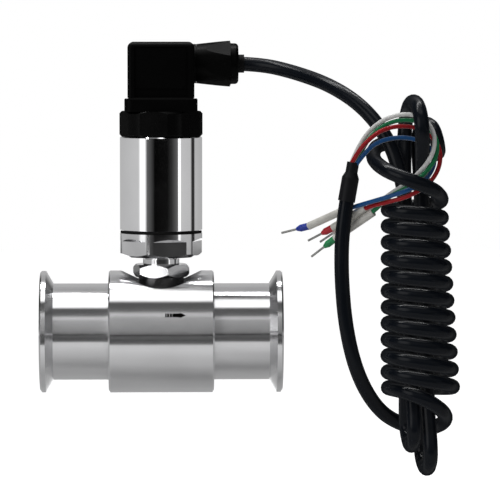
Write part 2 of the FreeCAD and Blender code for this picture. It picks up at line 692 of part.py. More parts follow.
def plug_housing():
    """Hollow plug with rounded edges, bare sunk panels and the gland neck."""
    height = PLUG_TOP - PLUG_BOTTOM
    shape = block(PLUG_SIZE, PLUG_SIZE, PLUG_BOTTOM, PLUG_TOP)
    shape = shape.makeFillet(PLUG_SIDE_ROUND, upright_edges(shape, height))
    rim = [e for e in shape.Edges if e.BoundBox.ZMin > PLUG_TOP - FIT]
    shape = shape.makeFillet(PLUG_TOP_ROUND, rim)
    recess = block(RECESS_WIDTH, RECESS_DEPTH, PLUG_BOTTOM, PANEL_TOP + RECESS_MARGIN,
                   y=(RECESS_DEPTH - PLUG_SIZE) / 2)
    notch = block(RECESS_WIDTH, NOTCH_DEPTH, PLUG_BOTTOM, PANEL_BOTTOM,
                  y=(NOTCH_DEPTH - PLUG_SIZE) / 2)
    sunk = recess.fuse(notch)
    half = PANEL_WIDTH / 2
    low = PANEL_BOTTOM + PANEL_CHAMFER
    front = RECESS_DEPTH - PLUG_SIZE / 2
    points = [V(MID_X - half, front, low), V(MID_X - half + PANEL_CHAMFER, front, PANEL_BOTTOM),
              V(MID_X + half - PANEL_CHAMFER, front, PANEL_BOTTOM), V(MID_X + half, front, low),
              V(MID_X + half, front, PANEL_TOP), V(MID_X - half, front, PANEL_TOP)]
    panel = Part.Face(Part.makePolygon(points + points[:1])).extrude(V(0, -PANEL_THICKNESS, 0))
    back_panel = panel.mirror(ORIGIN, V(0, 1, 0))
    wall = MID_X + PLUG_SIZE / 2 - PLUG_WALL
    neck = rod_x(GLAND_NECK_R, wall, GLAND_NECK_END, GLAND_Z)
    collar = rod_x(GLAND_NUT_R0, wall, GLAND_NUT_X0 - GLAND_THREAD_FIT, GLAND_Z)
    room = PLUG_SIZE - 2 * PLUG_WALL
    shape = shape.cut(sunk).cut(sunk.mirror(ORIGIN, V(0, 1, 0)))
    shape = shape.fuse(panel).fuse(back_panel).fuse(neck).fuse(collar)
    shape = shape.cut(block(room, room, PLUG_BOTTOM, PLUG_TOP - PLUG_ROOF))
    shape = shape.cut(rod_x(GLAND_NECK_BORE_R, GLAND_NECK_FLOOR, GLAND_NECK_END, GLAND_Z))
    shape = shape.cut(rod_x(GLAND_HOLE_R, MID_X, GLAND_NECK_END, GLAND_Z))
    shape = shape.cut(rod_z(SCREW_R + SCREW_FIT, PLUG_BOTTOM, PLUG_TOP))
    head_floor = PLUG_TOP - SCREW_HEAD_SINK - SCREW_HEAD_HEIGHT
    return shape.cut(rod_z(SCREW_HEAD_R + SCREW_FIT, head_floor, PLUG_TOP))


def contact_insert():
    """Contact block inside the plug with a slot over each tongue."""
    room = PLUG_SIZE - 2 * PLUG_WALL - 2 * INSERT_FIT
    shape = block(room, room, PLUG_BOTTOM, INSERT_TOP)
    for spot in BLADE_SPOTS.values():
        shape = shape.cut(contact_blade(spot, BLADE_FIT))
    return shape.cut(rod_z(SCREW_R + SCREW_FIT, PLUG_BOTTOM, INSERT_TOP))


def centre_screw():
    """Long slotted screw that holds the plug down on its base."""
    head_top = PLUG_TOP - SCREW_HEAD_SINK
    head_low = head_top - SCREW_HEAD_HEIGHT
    shape = rod_z(SCREW_R, BASE_TOP - SCREW_DEPTH + FIT, head_low)
    shape = shape.fuse(rod_z(SCREW_HEAD_R, head_low, head_top))
    slot = block(2 * SCREW_HEAD_R, SLOT_WIDTH, head_top - SLOT_DEPTH, head_top)
    return shape.cut(slot)


def about_gland(profile):
    """Turn (x, radius) points about the gland axis."""
    shape = ring_about_x(profile)
    shape.translate(V(0, 0, GLAND_Z))
    return shape


def gland_nut():
    """Flared gland nut with six flats that run out towards the plug."""
    inner = GLAND_NECK_R + GLAND_THREAD_FIT
    hole = LIP_R + GLAND_THREAD_FIT
    shape = about_gland([
        (GLAND_NUT_X0, inner), (GLAND_NUT_X0, GLAND_NUT_R0), (GLAND_NUT_X1, GLAND_NUT_R1),
        (GLAND_NUT_X1 + GLAND_NOSE_STEP, GLAND_NOSE_R), (GLAND_NUT_X2, GLAND_NOSE_R),
        (GLAND_NUT_X2, hole), (GLAND_NOSE_INNER, hole), (GLAND_NOSE_INNER, inner),
    ])
    rim = [e for e in shape.Edges
           if e.BoundBox.XMin > GLAND_NUT_X2 - FIT and e.BoundBox.YLength > GLAND_NOSE_R + hole]
    shape = shape.makeFillet(GLAND_NOSE_ROUND, rim)
    flat = GLAND_AF / 2
    run = GLAND_NUT_BODY + GLAND_NOSE_STEP
    for i in range(6):
        cutter = Part.makeBox(run, 2 * GLAND_NUT_R1, GLAND_NUT_R1,
                              V(GLAND_NUT_X0, -GLAND_NUT_R1, flat))
        cutter.rotate(ORIGIN, X_AXIS, GLAND_FLAT_TURN + HEX_STEP * i)
        cutter.translate(V(0, 0, GLAND_Z))
        shape = shape.cut(cutter)
    return shape


def gland_seal():
    """Rubber seal in the gland neck with the lip that shows at the nose."""
    hole = CABLE_R + CABLE_FIT
    start = GLAND_NECK_FLOOR + FIT
    return about_gland([
        (start, hole), (start, SEAL_BODY_R), (SEAL_BODY_END, SEAL_BODY_R),
        (SEAL_BODY_END, LIP_R), (LIP_END, LIP_R), (LIP_END, hole),
    ])


def gland_washer():
    x0 = SEAL_BODY_END + WASHER_GAP
    return about_gland([
        (x0, LIP_R + WASHER_GAP), (x0, GLAND_NECK_R), (x0 + WASHER_THICKNESS, GLAND_NECK_R),
        (x0 + WASHER_THICKNESS, LIP_R + WASHER_GAP),
    ])


def cable_hank():
    """One closed solid with the outer shape of the tied-up cable."""
    axis = V(*HANK_TOP) - V(*HANK_BOTTOM)
    shape = Part.makeCone(HANK_BOTTOM_R, HANK_TOP_R, axis.Length, V(*HANK_BOTTOM), axis)
    loops = {"top loop": TOP_LOOP_POINTS, "left loop": LEFT_LOOP_POINTS,
             "right loop": RIGHT_LOOP_POINTS, "wrap": WRAP_POINTS}
    for name, points in loops.items():
        shape = shape.fuse(cord(name, points, CABLE_R))
    return shape


def end_sleeve():
    """Shrink sleeve over the cable end, stepped down to the core wires."""
    before = V(*TAIL_POINTS[-2])
    last_run = V(*TAIL_POINTS[-1]) - before
    floor = last_run.Length - SLEEVE_START + CABLE_FIT
    axis = V(last_run).normalize()
    start = before + axis * SLEEVE_START
    end = start + axis * SLEEVE_LENGTH
    socket = CABLE_R + CABLE_FIT
    return turned_between(tuple(start), tuple(end), [
        (0, socket), (0, SLEEVE_R), (SLEEVE_WIDE, SLEEVE_R),
        (SLEEVE_WIDE + SLEEVE_TAPER, SLEEVE_TIP_R), (SLEEVE_LENGTH, SLEEVE_TIP_R),
        (SLEEVE_LENGTH, 0), (floor, 0), (floor, socket),
    ])


def marker(ends):
    """Slip-on marker tube around the straight end of a core wire."""
    start, end, tip = ends
    run = (V(*end) - V(*start)).Length
    return turned_between(start, end, [
        (0, WIRE_R + MARKER_FIT), (0, MARKER_R), (run, MARKER_R), (run, WIRE_R + MARKER_FIT),
    ])


def core_end(ends):
    """Where a core wire stops inside its marker tube."""
    start, end, tip = ends
    return tuple(V(*start) + (V(*end) - V(*start)) * CORE_SHARE)


def ferrule_collar(ends):
    """Plastic collar of a wire ferrule: bored for its pin, with a shank back to the core."""
    start, end, tip = ends
    length = COLLAR_BODY + COLLAR_CONE
    collar = turned_between(end, tip, [
        (0, 0), (0, COLLAR_WIDE_R), (COLLAR_BODY, COLLAR_WIDE_R), (length, COLLAR_TIP_R),
        (length, PIN_R + FIT), (length - PIN_SINK, PIN_R + FIT), (length - PIN_SINK, 0),
    ])
    shank = V(*end) - V(*core_end(ends))
    root = shank.Length + WIRE_R
    return collar.fuse(Part.makeCylinder(WIRE_R, root, V(*core_end(ends)), shank))


def ferrule_pin(ends):
    start, end, tip = ends
    begin = COLLAR_BODY + COLLAR_CONE - PIN_SINK + FIT
    finish = COLLAR_BODY + COLLAR_CONE + PIN_LENGTH
    return turned_between(end, tip, [
        (begin, 0), (begin, PIN_R), (finish, PIN_R), (finish, 0),
    ])


def main():
    os.makedirs("parts", exist_ok=True)
    save("meter_body", meter_body())
    pairs = {"ferrule": ferrule, "retaining_ring": retaining_ring, "guide": guide,
             "bush": bush, "thrust_pad": thrust_pad}
    for name, make in pairs.items():
        shape = make()
        save("inlet_" + name, shape)
        save("outlet_" + name, mirrored(shape))
    save("rotor", rotor())
    save("rotor_shaft", rotor_shaft())

    save("pickup_shell", pickup_shell())
    save("lock_nut", lock_nut())
    save("pole_piece", rod_z(POLE_R, PICKUP_BASE, POLE_TOP))
    save("coil_bobbin", bobbin())
    save("pickup_coil", winding())
    save("pickup_magnet", rod_z(MAGNET_R, POLE_TOP, POLE_TOP + MAGNET_HEIGHT))

    save("housing_base", housing_base())
    save("housing_seal", housing_seal())
    save("housing_tube", housing_tube())
    save("board_carrier", board_carrier())
    save("circuit_board", block(BOARD_WIDTH, BOARD_THICKNESS, BOARD_LOW, BOARD_TOP))
    chip_low = CARRIER_LOW + CARRIER_HEIGHT + CHIP_LIFT
    chip_y = -(BOARD_THICKNESS + CHIP_HEIGHT) / 2
    save("processor_chip", block(CHIP_SIZE, CHIP_HEIGHT, chip_low, chip_low + CHIP_SIZE, y=chip_y))
    can_z = CARRIER_LOW + CARRIER_HEIGHT + CAN_LIFT
    can = Part.makeCylinder(CAN_R, CAN_HEIGHT, V(MID_X, BOARD_THICKNESS / 2, can_z), V(0, 1, 0))
    save("board_capacitor", can)

    save("hex_adapter", hex_adapter())
    save("connector_base", connector_base())
    for name, spot in BLADE_SPOTS.items():
        save("contact_blade_" + name, contact_blade(spot))
    save("profile_gasket", profile_gasket())
    save("plug_housing", plug_housing())
    save("contact_insert", contact_insert())
    save("centre_screw", centre_screw())
    save("gland_nut", gland_nut())
    save("gland_seal", gland_seal())
    save("gland_washer", gland_washer())

    save("cable_lead", cord("cable_lead", LEAD_POINTS, CABLE_R))
    save("cable_hank", cable_hank())
    save("cable_tail", cord("cable_tail", TAIL_POINTS, CABLE_R))
    save("end_sleeve", end_sleeve())
    for colour, points in WIRE_POINTS.items():
        ends = WIRE_ENDS[colour]
        path = points + [ends[0], core_end(ends)]
        save("wire_" + colour, cord("wire_" + colour, path, WIRE_R))
        save("marker_" + colour, marker(ends))
        save("collar_" + colour, ferrule_collar(ends))
        save("pin_" + colour, ferrule_pin(ends))


main()
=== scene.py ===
# %% [markdown]
# # Water flow meter with a hanked cable
# This lesson dresses a finished CAD frame: an inline turbine meter with clamp ends, a steel
# pickup housing, a black plug and a cable tied up in a hank. The frame gives every rigid
# piece its place and size. Here it gets a camera, the cable as a smooth curve, studio light,
# materials and the printed flow arrow.
#
# Step 1: load the frame. The box round all of them is kept; the floor goes below it.

# %% Load the frame
import json
import math

import bpy
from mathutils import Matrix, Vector


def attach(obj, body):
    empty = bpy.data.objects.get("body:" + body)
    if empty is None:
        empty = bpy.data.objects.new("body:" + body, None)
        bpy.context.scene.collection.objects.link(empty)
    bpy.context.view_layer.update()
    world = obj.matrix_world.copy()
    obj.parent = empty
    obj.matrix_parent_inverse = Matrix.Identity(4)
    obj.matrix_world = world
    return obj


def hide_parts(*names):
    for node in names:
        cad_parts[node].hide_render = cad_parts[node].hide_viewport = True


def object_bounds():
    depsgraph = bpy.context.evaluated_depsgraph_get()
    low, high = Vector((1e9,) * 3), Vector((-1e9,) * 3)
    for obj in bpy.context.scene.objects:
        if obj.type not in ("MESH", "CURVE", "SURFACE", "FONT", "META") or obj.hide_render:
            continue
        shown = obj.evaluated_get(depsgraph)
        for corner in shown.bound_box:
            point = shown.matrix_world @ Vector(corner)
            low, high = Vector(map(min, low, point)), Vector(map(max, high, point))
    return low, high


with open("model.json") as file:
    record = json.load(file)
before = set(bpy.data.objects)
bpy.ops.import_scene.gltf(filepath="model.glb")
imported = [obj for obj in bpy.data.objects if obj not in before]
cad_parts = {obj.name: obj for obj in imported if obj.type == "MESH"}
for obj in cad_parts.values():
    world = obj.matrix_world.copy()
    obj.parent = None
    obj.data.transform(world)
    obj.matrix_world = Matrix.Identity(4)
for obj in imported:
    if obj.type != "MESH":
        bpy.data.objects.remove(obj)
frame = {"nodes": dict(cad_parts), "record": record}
start_low, start_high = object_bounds()
nodes = frame["nodes"]
print("nodes in the frame:", len(nodes))

# %% [markdown]
# Step 2: the camera. Such a product is pictured from some way off, so that both ends of the
# pipe look alike. A short lens close by would also fill the picture, but it would spread the
# verticals and show too much of the near side. So a long lens looks from about a metre and a
# half in front of the meter and a little above it. The turn from its spot to its aim is set
# once, with no constraint left on the camera.

# %% Camera
CAMERA_SPOT = Vector((0.05, -1.5, 0.128))
CAMERA_AIM = Vector((0.08675, 0.0, 0.03375))
CAMERA_LENS = 261.5

camera_data = bpy.data.cameras.new("camera")
camera_data.lens = CAMERA_LENS
camera = bpy.data.objects.new("camera", camera_data)
camera.location = CAMERA_SPOT
camera.rotation_mode = "QUATERNION"
camera.rotation_quaternion = (CAMERA_AIM - CAMERA_SPOT).to_track_quat("-Z", "Y")
bpy.context.scene.collection.objects.link(camera)
bpy.context.scene.camera = camera
print("camera distance:", round((CAMERA_AIM - CAMERA_SPOT).length, 3), "m")

# %% [markdown]
# Step 3: the cable. On the real meter it leaves the gland, drops into a hank of four long legs
# with loops at the top and bottom, is wrapped once round the legs, then wound round them in
# eleven turns, and its tail climbs back up. Bezier curves could draw this too, but each point
# would need two handles. A NURBS spline is smooth with nothing but its control points, so one
# of them follows the whole route. The free stretches are listed points. The coil is a
# formula: twelve points per turn on a slim cone, whose turns sink on the right the more the
# lower they lie.

# %% Route of the cable
LEAD = [
    (0.077, 0, 0.1108), (0.09, 0, 0.1108), (0.105, -0.01, 0.1074), (0.1197, -0.026, 0.102),
    (0.132, -0.038, 0.0934), (0.141, -0.046, 0.0813), (0.1454, -0.0515, 0.0685),
    (0.1477, -0.053, 0.056),
]
LEFT_LOOP = [
    (0.1503, -0.053, -0.012), (0.1503, -0.054, -0.02), (0.1509, -0.062, -0.035),
    (0.1506, -0.055, -0.0419), (0.1498, -0.045, -0.0419), (0.1489, -0.038, -0.035),
    (0.1484, -0.046, -0.02), (0.1484, -0.047, -0.012),
]
TOP_LOOP = [
    (0.1478, -0.0467, 0.05), (0.1474, -0.0462, 0.068), (0.1484, -0.0335, 0.0863),
    (0.1498, -0.043, 0.0962), (0.1522, -0.057, 0.0962), (0.1534, -0.0665, 0.0863),
    (0.1543, -0.0535, 0.068), (0.1543, -0.053, 0.05),
]
RIGHT_LOOP = [
    (0.1566, -0.053, -0.012), (0.1565, -0.0535, -0.026), (0.1576, -0.062, -0.044),
    (0.157, -0.055, -0.0512), (0.1558, -0.045, -0.0512), (0.1548, -0.038, -0.044),
    (0.157, -0.0462, -0.026), (0.157, -0.0466, -0.012),
]
WRAP = [
    (0.1543, -0.0467, 0.05), (0.1543, -0.0458, 0.06), (0.154, -0.04, 0.0705),
    (0.1537, -0.0348, 0.0795), (0.155, -0.036, 0.0874), (0.1589, -0.044, 0.0866),
    (0.1608, -0.0475, 0.0798), (0.1618, -0.0412, 0.0743), (0.1574, -0.028, 0.0753),
    (0.1455, -0.028, 0.079), (0.1366, -0.037, 0.0786), (0.1341, -0.05, 0.0734),
    (0.1392, -0.062, 0.0689), (0.149, -0.0674, 0.0653), (0.1585, -0.0636, 0.0616),
    (0.1628, -0.051, 0.057),
]
TAIL = [
    (0.148, -0.0615, -0.0193), (0.157, -0.0627, -0.0228), (0.1641, -0.0556, -0.0287),
    (0.1641, -0.0433, -0.0338), (0.1579, -0.0337, -0.0373), (0.1475, -0.0318, -0.0356),
    (0.1375, -0.0385, -0.0288), (0.129, -0.047, -0.0145), (0.124, -0.05, 0.0045),
    (0.122, -0.0505, 0.027), (0.1225, -0.05, 0.047), (0.1254, -0.05, 0.0638),
]

COIL_Y = -0.05
COIL_TOP, COIL_BOTTOM = 0.0529, -0.0187
COIL_X_TOP, COIL_X_BOTTOM = 0.1514, 0.154
COIL_R_TOP, COIL_R_BOTTOM = 0.01065, 0.0132
COIL_TURNS = 11
POINTS_PER_TURN = 12
POLYGON_GROW = 1.035
COIL_SLANT = 0.085
COIL_LEAN = 0.12


def coil_points():
    """Control points of the coil, anticlockwise seen from above, from the right side down."""
    points = []
    half_turn = POINTS_PER_TURN // 2
    for step in range(1, half_turn + COIL_TURNS * POINTS_PER_TURN + 1):
        share = (step - half_turn) / (COIL_TURNS * POINTS_PER_TURN)
        angle = 2 * math.pi * step / POINTS_PER_TURN
        radius = POLYGON_GROW * (COIL_R_TOP + share * (COIL_R_BOTTOM - COIL_R_TOP))
        middle = COIL_X_TOP + share * (COIL_X_BOTTOM - COIL_X_TOP)
        sag = radius * (COIL_SLANT * math.sin(angle)
                        + COIL_LEAN * share * share * (1 + math.cos(angle)))
        points.append((middle + radius * math.cos(angle), COIL_Y + radius * math.sin(angle),
                       COIL_TOP + share * (COIL_BOTTOM - COIL_TOP) - sag))
    return points


cable_route = LEAD + LEFT_LOOP + TOP_LOOP + RIGHT_LOOP + WRAP + coil_points() + TAIL
print("cable control points:", len(cable_route))

# %% [markdown]
# The jacket is a plain round tube. A mesh could be swept along the route, but a bevelled curve
# gives the same tube and stays easy to reroute. The bevel has a depth of 1 and each point
# carries the cable's radius, so the curve's box keeps its true size. The order and the end
# setting come after the points, because a spline with too few points ignores them. Glossy rays
# pass the cords by, so the polished tube beside them keeps clean bands.

# %% Cable curve
CABLE_D = 0.0059
CABLE_STEPS = 8
UNIT_BEVEL = 1.0
BEVEL_STEPS = 6


def tube_curve(name, points, diameter, steps):
    """Round tube along one open NURBS spline with these control points."""
    data = bpy.data.curves.new(name, "CURVE")
    data.dimensions = "3D"
    data.bevel_depth = UNIT_BEVEL
    data.bevel_resolution = BEVEL_STEPS
    data.use_fill_caps = True
    data.resolution_u = steps
    spline = data.splines.new("NURBS")
    spline.points.add(len(points) - 1)
    for point, spot in zip(spline.points, points):
        point.co = (*spot, 1.0)
        point.radius = diameter / 2
    spline.order_u = 3
    spline.use_endpoint_u = True
    tube = bpy.data.objects.new(name, data)
    tube.visible_glossy = False
    bpy.context.scene.collection.objects.link(tube)
    return tube


def spline_length(tube):
    """Length of a curve's centreline, from its mesh without the bevel."""
    data = tube.data
    data.bevel_depth = 0.0
    depsgraph = bpy.context.evaluated_depsgraph_get()
    line = tube.evaluated_get(depsgraph).to_mesh()
    total = sum((line.vertices[e.vertices[0]].co - line.vertices[e.vertices[1]].co).length
                for e in line.edges)
    tube.evaluated_get(depsgraph).to_mesh_clear()
    data.bevel_depth = UNIT_BEVEL
    return total


cable = tube_curve("cable", cable_route, CABLE_D, CABLE_STEPS)
print("cable length:", round(spline_length(cable), 3), "m")

# %% [markdown]
# The four core wires leave the shrink sleeve at the tail's end, arch over the hank's top, come
# down on its right side and cross to the left behind the wrap. One wire could be copied three
# times, but on the real cable each takes its own way, so each has its own points and the same
# tube helper. A wire ends in its marker tube: its last two points are that tube's start and its
# middle.

# %% Core wires
WIRE_D = 0.0018
WIRE_STEPS = 10
WIRES = {
    "white": [
        (0.12585, -0.049, 0.071), (0.1282, -0.0482, 0.0766), (0.1326, -0.049, 0.084),
        (0.139, -0.0508, 0.0893), (0.147, -0.053, 0.0916), (0.1546, -0.0559, 0.0902),
        (0.1588, -0.0592, 0.084), (0.1583, -0.0617, 0.0766), (0.1544, -0.0609, 0.0702),
        (0.1486, -0.0584, 0.0643), (0.1415, -0.0539, 0.0597), (0.1345, -0.0468, 0.0534),
        (0.12895, -0.04225, 0.0495),
    ],
    "green": [
        (0.12785, -0.049, 0.071), (0.13, -0.0499, 0.0764), (0.1339, -0.0508, 0.0828),
        (0.1396, -0.0516, 0.0874), (0.1472, -0.0526, 0.0894), (0.155, -0.0542, 0.0879),
        (0.16, -0.0568, 0.0816), (0.1596, -0.0598, 0.0746), (0.1552, -0.0612, 0.0682),
        (0.1482, -0.0596, 0.0622), (0.1404, -0.0549, 0.0584), (0.1349, -0.0502, 0.0519),
        (0.12735, -0.0463, 0.0464),
    ],
    "red": [
        (0.12585, -0.051, 0.071), (0.1282, -0.053, 0.0758), (0.1328, -0.0534, 0.0812),
        (0.1386, -0.0534, 0.0854), (0.1464, -0.0529, 0.0868), (0.1546, -0.0526, 0.0854),
        (0.1606, -0.0536, 0.0798), (0.1616, -0.0564, 0.0722), (0.1578, -0.0596, 0.0647),
        (0.1496, -0.0617, 0.0592), (0.1396, -0.0574, 0.0562), (0.1317, -0.049, 0.0539),
        (0.12545, -0.0443, 0.04955),
    ],
    "blue": [
        (0.12785, -0.051, 0.071), (0.1308, -0.0514, 0.075), (0.135, -0.052, 0.0794),
        (0.1414, -0.0525, 0.0818), (0.1492, -0.0531, 0.082), (0.156, -0.0537, 0.0796),
        (0.1594, -0.0552, 0.0742), (0.1578, -0.0582, 0.0684), (0.1528, -0.0613, 0.0632),
        (0.145, -0.0615, 0.0602), (0.1356, -0.0562, 0.057), (0.1248, -0.0453, 0.0532),
        (0.11725, -0.04015, 0.0494),
    ],
}
wires = {}
for colour, points in WIRES.items():
    wires[colour] = tube_curve("core_" + colour, points, WIRE_D, WIRE_STEPS)
    print("core", colour, round(spline_length(wires[colour]), 4), "m")

# %% [markdown]
# The frame holds plain tubes in place of the cords. The curves stand for these and ride on the
# meter, so the tubes are hidden. The shrink sleeve and each wire's marker, collar and pin are
# rigid and stay as the frame has them. Glossy rays pass them by too.

WIRE_FITTINGS = ("marker_", "collar_", "pin_")

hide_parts("cable_lead", "cable_hank", "cable_tail")
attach(cable, "meter")
for colour, wire in wires.items():
    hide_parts("wire_" + colour)
    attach(wire, "meter")
for name in ["end_sleeve"] + [part + colour for part in WIRE_FITTINGS for colour in wires]:
    nodes[name].visible_glossy = False
print("cords declared:", 1 + len(wires))

# %% [markdown]
# Step 4: the studio. Polished steel shows little but its surroundings, so these make its look.
# A pale floor runs far to the back under an open white room. Floor and world are white where
# the camera looks at them, and metal sees that same white behind the meter. Elsewhere stands a
# soft studio: light side walls, two bright strips and a dark side where the camera is. Many
# glowing planes could stand for it, but a world drawn by direction puts each band where it
# belongs and casts no stray shadow. Helpers come first: `maths` and `slope` make number nodes,
# `sight` finds the rays that see the white.

# %% Studio helpers
def maths(tree, operation, *values):
    """Math node; each value is a socket to link or a plain number."""
    node = tree.nodes.new("ShaderNodeMath")
    node.operation = operation
    for slot, value in zip(node.inputs, values):
        if isinstance(value, (int, float)):
            slot.default_value = value
        else:
            tree.links.new(value, slot)
    return node.outputs[0]


def slope(tree, value, start, end):
    """Number that runs from start to end, each a pair of the value and the number there."""
    node = tree.nodes.new("ShaderNodeMapRange")
    node.inputs["From Min"].default_value, node.inputs["To Min"].default_value = start
    node.inputs["From Max"].default_value, node.inputs["To Max"].default_value = end
    tree.links.new(value, node.inputs["Value"])
    return node.outputs["Result"]


def sight(tree, window):
    """1 for camera rays, and for glossy and transmission rays inside the window."""
    ray = tree.nodes.new("ShaderNodeLightPath")
    mirrored = maths(tree, "MAXIMUM", ray.outputs["Is Glossy Ray"], ray.outputs["Is Transmission Ray"])
    return maths(tree, "MAXIMUM", ray.outputs["Is Camera Ray"], maths(tree, "MULTIPLY", mirrored, window))


print("studio helpers ready")

# %% [markdown]
# The floor could be one even white, but the barrel mirrors it and would be too light from
# below. So shade is painted into the floor's colour: it is lighter in front than under the
# meter, where it adds to the meter's real shadow. From `FLOOR_BACK` on, and not far from the
# middle, it is in the picture, and there it glows most. Nearer it keeps the meter's shadow.

# %% Floor
FLOOR_DROP = 0.09
FLOOR_SIZE = 3.2
FLOOR_FRONT = -0.4
FLOOR_BACK = 0.4
FLOOR_MIDDLE = 0.08
FLOOR_SIDE = 0.4
FLOOR_GLOW = ((0.1, 0.55), (0.45, 0.85))
# Floor colour by depth: pale in front, darkened under the meter as painted shade.
FLOOR_PALE_AND_PAINTED_SHADE = ((-0.26, 0.92), (0.0, 0.5))
FLOOR_ROUGHNESS = 0.9
WHITE = (1, 1, 1, 1)

bpy.ops.mesh.primitive_plane_add(
    size=FLOOR_SIZE, location=(0, FLOOR_FRONT + FLOOR_SIZE / 2, start_low.z - FLOOR_DROP))
floor = bpy.context.object
floor.name = "floor"

floor_look = bpy.data.materials.new("floor_white")
floor_look.use_nodes = True
floor_tree = floor_look.node_tree
floor_shader = floor_tree.nodes["Principled BSDF"]
floor_shader.inputs["Roughness"].default_value = FLOOR_ROUGHNESS
floor_shader.inputs["Emission Color"].default_value = WHITE
place = floor_tree.nodes.new("ShaderNodeTexCoord")
split = floor_tree.nodes.new("ShaderNodeSeparateXYZ")
floor_tree.links.new(place.outputs["Object"], split.inputs[0])
across = maths(floor_tree, "ADD", split.outputs["Y"], floor.location.y)
# Painted shade: the floor's base colour is darker under the meter than in front.
floor_tree.links.new(slope(floor_tree, across, *FLOOR_PALE_AND_PAINTED_SHADE), floor_shader.inputs["Base Color"])
far = maths(floor_tree, "GREATER_THAN", across, FLOOR_BACK)
near_middle = maths(floor_tree, "COMPARE", split.outputs["X"], FLOOR_MIDDLE, FLOOR_SIDE)
seen = sight(floor_tree, maths(floor_tree, "MULTIPLY", far, near_middle))
glow = maths(floor_tree, "MULTIPLY", seen, slope(floor_tree, across, *FLOOR_GLOW))
floor_tree.links.new(glow, floor_shader.inputs["Emission Strength"])
floor.data.materials.append(floor_look)
print("floor height:", round(floor.location.z, 3), "m")

# %% [markdown]
# One flat of the lock nut is bright white. A lamp could do that, but it would light all the
# rest as well. So a small white card stands low on the left, outside the picture, where little
# but this flat mirrors it.

# %% Reflector card
CARD_SPOT = (-0.216, -0.376, -0.009)
CARD_SIZE = (0.056, 0.02)
CARD_FACING = Vector((0.56, 0.825, 0))
CARD_GLOW = 3.2

bpy.ops.mesh.primitive_plane_add(size=1, location=CARD_SPOT)
card = bpy.context.object
card.name = "reflector_card"
card.dimensions = (*CARD_SIZE, 0)
card.rotation_mode = "QUATERNION"
card.rotation_quaternion = CARD_FACING.to_track_quat("Z", "Y")
card.visible_camera = False
card_look = bpy.data.materials.new("card_white")
card_look.use_nodes = True
card_shader = card_look.node_tree.nodes["Principled BSDF"]
card_shader.inputs["Emission Color"].default_value = WHITE
card_shader.inputs["Emission Strength"].default_value = CARD_GLOW
card.data.materials.append(card_look)
print("card:", [round(v, 3) for v in card.dimensions])

# %% [markdown]
# The studio is drawn by direction. One ramp runs round the horizon, from behind the meter over
# its left side to the camera and on to the right. A second ramp runs from the floor up to the
# ceiling, a third darkens that one at the sides, and a fourth adds light straight behind the
# meter. Near the horizon the first one counts, elsewhere the other three. The window is the
# part of the room that stands in the picture.

# %% Studio world
AROUND = [(-180, 0.48), (-66, 0.62), (-59, 1.4), (-47, 1.4), (-40, 0.13), (-31, 0.08),
          (-18, 0.002), (18, 0.004), (30, 0.03), (42, 0.1), (48, 0.16), (50, 1.6), (55, 1.6),
          (58, 0.62), (91, 0.58), (96, 0.03), (106, 0.03), (110, 0.55), (180, 0.42)]
UPWARD = [(-90, 0.4), (-22, 0.5), (-18, 0.12), (-12, 0.07), (-8, 0.12), (-2, 0.16), (1, 0.2),
          (16, 0.25), (31, 0.32), (33, 0.5), (38, 0.5), (42, 0.12), (60, 0.11), (65, 1.9), (90, 1.9)]
HORIZON = [(-4.6, 0), (-3.9, 1), (-0.6, 1), (0, 0)]
DEPTH = [(-180, 0.12), (-80, 0.12), (-50, 1), (50, 1), (80, 0.12), (180, 0.12)]
BEHIND = [(-180, 0.5), (-163, 0.45), (-148, 0), (148, 0), (163, 0.45), (180, 0.5)]
WINDOW_SIDE = [(-180, 1), (-175, 1), (-174, 0), (174, 0), (175, 1), (180, 1)]
WINDOW_HEIGHT = [(-11, 0), (-10, 1), (2, 1), (3, 0)]
FULL_TURN = (-180, 180)
FLOOR_TO_CEILING = (-90, 90)
RAMP_MIDDLE = 0.5


def ramp(tree, stops, low, high):
    """Colour ramp node with grey stops given in degrees between low and high."""
    node = tree.nodes.new("ShaderNodeValToRGB")
    elements = node.color_ramp.elements
    while len(elements) < len(stops):
        elements.new(RAMP_MIDDLE)
    for element, (angle, _) in zip(elements, stops):
        element.position = (angle - low) / (high - low)
    for element, (_, grey) in zip(elements, stops):
        element.color = (grey, grey, grey, 1)
    return node


world = bpy.data.worlds.new("studio")
bpy.context.scene.world = world
world.use_nodes = True
sky = world.node_tree
place = sky.nodes.new("ShaderNodeTexCoord")
split = sky.nodes.new("ShaderNodeSeparateXYZ")
sky.links.new(place.outputs["Generated"], split.inputs[0])
side = maths(sky, "ARCTAN2", split.outputs["X"], maths(sky, "MULTIPLY", split.outputs["Y"], -1))
side = maths(sky, "ADD", maths(sky, "DIVIDE", side, 2 * math.pi), RAMP_MIDDLE)
height = maths(sky, "DIVIDE", maths(sky, "ARCSINE", split.outputs["Z"]), math.pi)
height = maths(sky, "ADD", height, RAMP_MIDDLE)
sides = [ramp(sky, stops, *FULL_TURN) for stops in (AROUND, DEPTH, BEHIND, WINDOW_SIDE)]
heights = [ramp(sky, stops, *FLOOR_TO_CEILING) for stops in (UPWARD, HORIZON, WINDOW_HEIGHT)]
for node in sides:
    sky.links.new(side, node.inputs["Fac"])
for node in heights:
    sky.links.new(height, node.inputs["Fac"])
around, depth, behind, window_side = sides
upward, horizon, window_height = heights
fade = maths(sky, "MULTIPLY_ADD", upward.outputs["Color"], depth.outputs["Color"], behind.outputs["Color"])
room = sky.nodes.new("ShaderNodeMix")
room.data_type = "RGBA"
sky.links.new(horizon.outputs["Color"], room.inputs["Factor"])
sky.links.new(fade, room.inputs["A"])
sky.links.new(around.outputs["Color"], room.inputs["B"])
backdrop = sky.nodes.new("ShaderNodeMix")
backdrop.data_type = "RGBA"
window = maths(sky, "MULTIPLY", window_side.outputs["Color"], window_height.outputs["Color"])
sky.links.new(sight(sky, window), backdrop.inputs["Factor"])
sky.links.new(room.outputs["Result"], backdrop.inputs["A"])
backdrop.inputs["B"].default_value = WHITE
